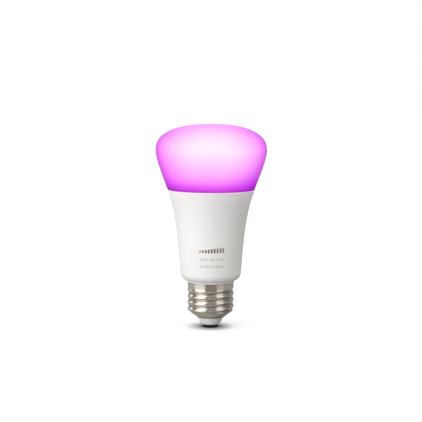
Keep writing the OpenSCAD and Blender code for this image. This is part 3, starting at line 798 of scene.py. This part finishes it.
def finish_inner_nodes():
    white = plastic("white_moulding", (0.86, 0.86, 0.85), (0.35, 0.5))
    black = plastic("black_moulding", (0.03, 0.03, 0.033), (0.45, 0.6), 600.0, 0.2)
    copper_gold = metal("gold_flash", (0.86, 0.66, 0.32), (0.22, 0.35))
    tin = metal("tin_plate", (0.74, 0.74, 0.72), (0.25, 0.4))
    looks = {
        "neutral_lead": plastic("white_insulation", (0.82, 0.81, 0.77), (0.35, 0.5)),
        "live_lead": plastic("brown_insulation", (0.16, 0.07, 0.035), (0.35, 0.5)),
        "heat_sink": metal("drawn_aluminium", (0.72, 0.73, 0.75), (0.35, 0.5), 120.0),
        "driver_liner": plastic("natural_nylon", (0.80, 0.80, 0.83), (0.4, 0.55)),
        "seal_bead": plastic("silicone_bead", (0.85, 0.85, 0.82), (0.3, 0.45), 900.0, 0.3),
        "led_carrier": metal("pressed_aluminium", (0.78, 0.78, 0.80), (0.3, 0.45), 90.0),
        "thermal_pad": plastic("thermal_pad_grey", (0.19, 0.22, 0.27), (0.7, 0.9), 900.0, 0.3),
        "led_board": plastic("white_solder_mask", (0.86, 0.86, 0.83), (0.3, 0.4), 900.0),
        "board_screws": metal("zinc_plate", (0.68, 0.69, 0.70), (0.25, 0.4)),
        "reflector_ring": white,
        "warm_white_leds": lens("warm_white_leds", (0.92, 0.62, 0.12)),
        "cool_white_leds": lens("cool_white_leds", (0.90, 0.80, 0.25)),
        "red_leds": lens("red_leds", (0.80, 0.05, 0.04), (1.0, 0.03, 0.03), 3.0),
        "green_leds": lens("green_leds", (0.12, 0.55, 0.15)),
        "blue_leds": lens("blue_leds", (0.05, 0.12, 0.80), (0.03, 0.08, 1.0), 4.0),
        "board_socket": plastic("cream_socket", (0.78, 0.72, 0.56)),
        "header_strip": black,
        "header_pins": copper_gold,
        "driver_board": laminate("green_laminate", (0.012, 0.07, 0.024)),
        "fusible_resistor": plastic("blue_lacquer", (0.13, 0.32, 0.38), (0.2, 0.35), 500.0, 0.2),
        "varistor": plastic("dipped_epoxy", (0.03, 0.08, 0.45), (0.25, 0.4), 500.0, 0.2),
        "input_choke": plastic("shrink_sleeve", (0.02, 0.022, 0.025), (0.25, 0.4), 300.0, 0.2),
        "film_capacitor": plastic("yellow_case", (0.80, 0.52, 0.05), (0.3, 0.45)),
        "bridge_rectifier": black,
        "bulk_capacitors": plastic("dark_blue_sleeve", (0.012, 0.02, 0.09), (0.2, 0.3), 300.0, 0.06),
        "transformer_core": plastic("ferrite", (0.05, 0.05, 0.055), (0.5, 0.7), 700.0, 0.3),
        "transformer_bobbin": black,
        "transformer_winding": plastic("yellow_tape", (0.82, 0.58, 0.10), (0.25, 0.4), 300.0, 0.15),
        "output_capacitors": plastic("black_sleeve", (0.02, 0.02, 0.022), (0.2, 0.3), 300.0, 0.06),
        "power_transistor": black,
        "driver_chips": black,
        "chip_resistors": plastic("resistor_glaze", (0.025, 0.025, 0.03), (0.2, 0.35)),
        "chip_capacitors": plastic("fired_ceramic", (0.42, 0.28, 0.15), (0.4, 0.55)),
        "radio_board": laminate("dark_green_laminate", (0.015, 0.10, 0.05)),
        "radio_pins": copper_gold,
        "radio_chip": black,
        "radio_shield": tin,
        "radio_crystal": tin,
        "antenna": metal("antenna_copper", (0.84, 0.46, 0.26), (0.25, 0.4)),
        "antenna_cover": white,
    }
    for node, material in looks.items():
        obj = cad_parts[node]
        for slot in obj.material_slots:
            slot.material = material


# Stage: floor, light and camera ----------------------------------------------------------------------


# Reach in metres and strength of each layer of the soft contact shadow
CONTACT_SHADE = ((0.002, 0.5), (0.004, 0.5), (0.008, 0.75))
FLOOR_GAP = 0.02


def build_floor():
    mesh = bpy.data.meshes.new("studio_floor")
    half = 6.0
    corners = [(-half, -half, 0), (half, -half, 0), (half, half, 0), (-half, half, 0)]
    mesh.from_pydata(corners, [], [(0, 1, 2, 3)])
    floor = bpy.data.objects.new("studio_floor", mesh)
    bpy.context.scene.collection.objects.link(floor)
    n = surface("white_paper")
    paper = n.blend(n.span(n.noise(4.0), 0.3, 0.7), rgba(0.90, 0.90, 0.90), rgba(0.92, 0.92, 0.92))
    seen = n.add("ShaderNodeLightPath").outputs["Is Camera Ray"]
    for reach, strength in CONTACT_SHADE:
        close = n.add("ShaderNodeAmbientOcclusion", samples=8)
        close.inputs["Distance"].default_value = reach
        paper = n.blend(n.math("POWER", close.outputs["AO"], strength), BLACK, paper)
    n.colour(n.blend(seen, rgba(0.28, 0.28, 0.28), paper))
    n.set(Roughness=0.9, Specular_IOR_Level=0.1)
    mesh.materials.append(n.owner)
    floor.location.z = -FLOOR_GAP * MM
    floor.visible_glossy = False


# What the metal reflects, in degrees of azimuth from the front and of elevation. The room is dim, and darkest
# in front. Cards and panels are ((azimuths), (elevations)), and the colours beside them are linear.
ROOM = (
    (-180, (0.42, 0.42, 0.42)), (-95, (0.52, 0.50, 0.48)), (-24, (0.26, 0.24, 0.21)),
    (26, (0.26, 0.24, 0.21)), (85, (0.36, 0.33, 0.32)), (180, (0.36, 0.35, 0.35)),
)
TABLE = ((-100.0, 20.0), (-62.0, -36.0))
TABLE_COLOUR = rgba(0.66, 0.65, 0.63)
# Azimuths and level of the dark cards outside the panels, each with a part above the horizon and one below
DARK_CARDS = (((-107.0, -91.0), 0.16), ((84.0, 120.0), 0.20))
CARD_ABOVE = (6.0, 36.0)
CARD_BELOW = (-48.0, -24.0)
UNDER_LEFT = rgba(0.40, 0.38, 0.34)
UNDER_RIGHT = rgba(0.15, 0.14, 0.11)
SPARKLE = ((-131.0, -117.0), (9.0, 26.0))
SPARKLE_COLOUR = rgba(1.3, 1.3, 1.3)
CEILING_COLOUR = rgba(0.50, 0.49, 0.47)
HORIZON = (-12.0, 3.0)
# Each bright panel, its colour, and its dimmer colour along the horizon
PANELS = (
    ((-85.0, -29.0), (-52.0, 60.0), rgba(1.40, 1.39, 1.37), rgba(0.83, 0.81, 0.79)),
    ((31.0, 70.0), (-40.0, 54.0), rgba(1.02, 0.98, 0.97), rgba(0.43, 0.39, 0.37)),
)
# The soft light that matt surfaces get
SOFT_LEFT = rgba(0.66, 0.66, 0.66)
SOFT_RIGHT = rgba(0.63, 0.605, 0.565)
SOFT_BEHIND = rgba(0.90, 0.90, 0.90)
SOFT_OVERHEAD = rgba(1.60, 1.60, 1.60)


def build_world():
    """Plain white to the camera and soft light to matt surfaces. Shiny ones see a dim room.

    The room has a bright panel on each side of the front, a dark card outside each, and a pale table below.
    Low down behind the bulb it is darker on the right. One small bright card puts a sparkle on the collar.
    """
    world = bpy.data.worlds.new("studio")
    bpy.context.scene.world = world
    n = Nodes(world, "Background", "Generated")
    x, y, z = n.axes()
    azimuth = n.math("ARCTAN2", x, n.math("MULTIPLY", y, -1.0))
    azimuth = n.span(azimuth, -math.pi, math.pi, -180.0, 180.0)
    elevation = n.span(n.math("ARCSINE", z), -math.pi / 2, math.pi / 2, -90.0, 90.0)

    def between(value, low, high, soft):
        rise = n.span(value, low - soft, low + soft, smooth=True)
        fall = n.span(value, high - soft, high + soft, 1.0, 0.0, smooth=True)
        return n.product(rise, fall)

    def window(azimuths, elevations, side_soft, level_soft):
        """1 inside a part of the room, with soft edges."""
        return n.product(between(azimuth, *azimuths, side_soft), between(elevation, *elevations, level_soft))

    stops = [((degrees + 180) / 360, colour) for degrees, colour in ROOM]
    room = n.ramp(n.span(azimuth, -180.0, 180.0), stops)
    room = n.blend(window(*TABLE, 30.0, 5.0), room, TABLE_COLOUR)
    for azimuths, level in DARK_CARDS:
        above = window(azimuths, CARD_ABOVE, 4.0, 4.0)
        below = window(azimuths, CARD_BELOW, 4.0, 4.0)
        room = n.blend(n.math("MAXIMUM", above, below), room, rgba(level, level, level))
    low = n.span(elevation, -38.0, -28.0, 1.0, 0.0, smooth=True)
    low_behind = n.product(low, n.span(y, -0.1, 0.15, smooth=True))
    under = n.blend(n.span(x, -0.05, 0.4, smooth=True), UNDER_LEFT, UNDER_RIGHT)
    room = n.blend(low_behind, room, under)
    room = n.blend(window(*SPARKLE, 4.0, 3.0), room, SPARKLE_COLOUR)
    room = n.blend(n.span(elevation, 46.0, 56.0, smooth=True), room, CEILING_COLOUR)
    horizon = between(elevation, *HORIZON, 4.0)
    for azimuths, elevations, colour, horizon_colour in PANELS:
        panel = n.blend(horizon, colour, horizon_colour)
        room = n.blend(window(azimuths, elevations, 5.0, 6.0), room, panel)

    soft = n.blend(n.span(azimuth, -30.0, 60.0, smooth=True), SOFT_LEFT, SOFT_RIGHT)
    behind = n.span(n.math("ABSOLUTE", azimuth), 125.0, 155.0, smooth=True)
    soft = n.blend(behind, soft, SOFT_BEHIND)
    soft = n.blend(n.span(elevation, 34.0, 46.0, smooth=True), soft, SOFT_OVERHEAD)
    rays = n.add("ShaderNodeLightPath").outputs
    room = n.blend(rays["Is Diffuse Ray"], room, soft)
    n.join(n.blend(rays["Is Camera Ray"], room, rgba(1, 1, 1)), n.shader.inputs["Color"])


def area_light(name, place, target, size, watts):
    light = bpy.data.lights.new(name, "AREA")
    light.shape = "DISK"
    light.size = size
    light.energy = watts
    light.use_shadow = False
    obj = bpy.data.objects.new(name, light)
    bpy.context.scene.collection.objects.link(obj)
    obj.location = place
    obj.rotation_euler = (Vector(target) - Vector(place)).to_track_quat("-Z", "Y").to_euler()
    obj.visible_camera = False
    obj.visible_glossy = False


def build_lights():
    """One soft disc from the front left; places in metres, power in watts."""
    area_light("left_softbox", (-0.56, -0.58, 0.26), (0, 0, 0.06), 0.9, 4.9)


# The camera's distance, height over the bulb's top, aim under it in metres, and roll in degrees
CAMERA_DISTANCE = 0.65
CAMERA_RISE = 0.01446
CAMERA_AIM_DROP = 0.04854
CAMERA_ROLL = 0.27
SENSOR_WIDTH = 36.0
FOCAL_WIDTHS = 1168 / 422


def build_camera():
    """A long lens a little higher than the bulb's top, aimed down at its middle."""
    aim = Vector((0, 0, top_z * MM - CAMERA_AIM_DROP))
    data = bpy.data.cameras.new("camera")
    data.sensor_width = SENSOR_WIDTH
    data.lens = SENSOR_WIDTH * FOCAL_WIDTHS
    data.clip_start = 0.05
    data.clip_end = 50.0
    camera = bpy.data.objects.new("camera", data)
    bpy.context.scene.collection.objects.link(camera)
    camera.location = (0.0, -CAMERA_DISTANCE, top_z * MM + CAMERA_RISE)
    facing = (aim - camera.location).to_track_quat("-Z", "Y").to_euler()
    facing.rotate_axis("Z", math.radians(CAMERA_ROLL))
    camera.rotation_euler = facing
    bpy.context.scene.camera = camera


build_camera()
build_world()
build_lights()
build_floor()
build_diffuser()
build_housing()
build_shell()
build_insulator()
build_contact()
build_nail()
build_print()
finish_inner_nodes()

view = bpy.context.scene.view_settings
view.view_transform = "Standard"
view.look = "None"
